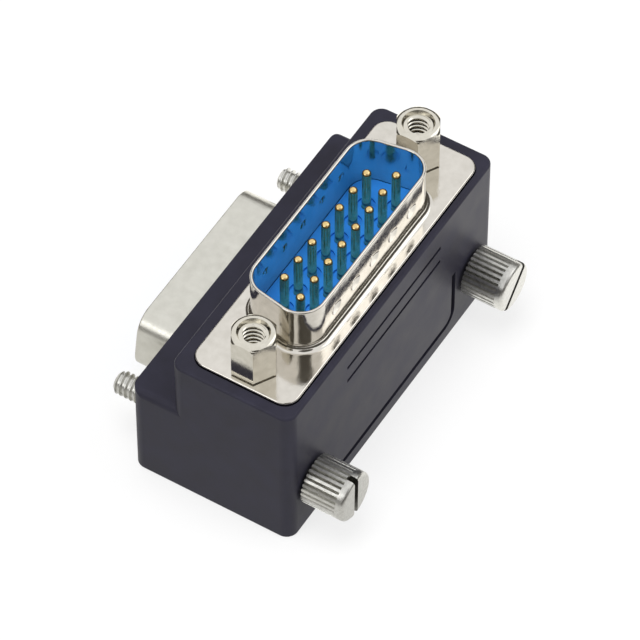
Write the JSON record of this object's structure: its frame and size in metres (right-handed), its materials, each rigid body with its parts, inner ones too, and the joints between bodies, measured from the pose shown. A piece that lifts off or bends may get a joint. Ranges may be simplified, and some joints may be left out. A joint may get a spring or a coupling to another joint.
{
  "type": "right-angle d-sub adapter",
  "caption": "Right-angle adapter that joins a male and a female D connector in an L-shaped moulded housing, with captive thumbscrews and hex jack sockets.",
  "frame": {"origin": "on the flat underside, straight below the middle of the male connector", "axes": "+Z the way the male connector faces (up), +Y the way the female connector faces, X along both connectors"},
  "size_m": [0.0422, 0.031, 0.0272],
  "materials": {
    "housing_black": "satin moulded plastic",
    "shell_nickel": "bright nickel-plated drawn steel",
    "insulator_blue": "smooth blue glass-filled plastic",
    "insulator_black": "plain moulded plastic",
    "contact_gold": "gold-flashed",
    "screw_nickel": "nickel-plated, turned",
    "nut_brass": "plain",
    "ring_steel": "spring steel"
  },
  "bodies": {
    "adapter": {"housing": "housing_black", "male_shell": "shell_nickel", "male_rear_shell": "shell_nickel", "male_insulator": "insulator_blue", "male_rear_insulator": "insulator_black", "female_shell": "shell_nickel", "female_rear_shell": "shell_nickel", "female_insulator": "insulator_blue", "female_rear_insulator": "insulator_black", "jack_sockets": "screw_nickel", "jack_nuts": "nut_brass", "male_contact_01": "contact_gold", "male_contact_02": "contact_gold", "male_contact_03": "contact_gold", "male_contact_04": "contact_gold", "male_contact_05": "contact_gold", "male_contact_06": "contact_gold", "male_contact_07": "contact_gold", "male_contact_08": "contact_gold", "male_contact_09": "contact_gold", "male_contact_10": "contact_gold", "male_contact_11": "contact_gold", "male_contact_12": "contact_gold", "male_contact_13": "contact_gold", "male_contact_14": "contact_gold", "male_contact_15": "contact_gold", "female_contact_01": "contact_gold", "female_contact_02": "contact_gold", "female_contact_03": "contact_gold", "female_contact_04": "contact_gold", "female_contact_05": "contact_gold", "female_contact_06": "contact_gold", "female_contact_07": "contact_gold", "female_contact_08": "contact_gold", "female_contact_09": "contact_gold", "female_contact_10": "contact_gold", "female_contact_11": "contact_gold", "female_contact_12": "contact_gold", "female_contact_13": "contact_gold", "female_contact_14": "contact_gold", "female_contact_15": "contact_gold"},
    "left_ring": {"left_retaining_ring": "ring_steel"},
    "left_screw": {"left_thumbscrew": "screw_nickel"},
    "right_ring": {"right_retaining_ring": "ring_steel"},
    "right_screw": {"right_thumbscrew": "screw_nickel"}
  },
  "joints": [
    {"name": "left_screw_float", "type": "slide", "parent": "adapter", "child": "left_ring", "axis": [0, 1, 0], "range_m": [-0.0019, 0.00025]},
    {"name": "left_screw_turn", "type": "hinge", "parent": "left_ring", "child": "left_screw", "pos_m": [-0.01666, 0, 0.00665], "axis": [0, 1, 0], "continuous": true},
    {"name": "right_screw_float", "type": "slide", "parent": "adapter", "child": "right_ring", "axis": [0, 1, 0], "range_m": [-0.0019, 0.00025]},
    {"name": "right_screw_turn", "type": "hinge", "parent": "right_ring", "child": "right_screw", "pos_m": [0.01666, 0, 0.00665], "axis": [0, 1, 0], "continuous": true}
  ]
}
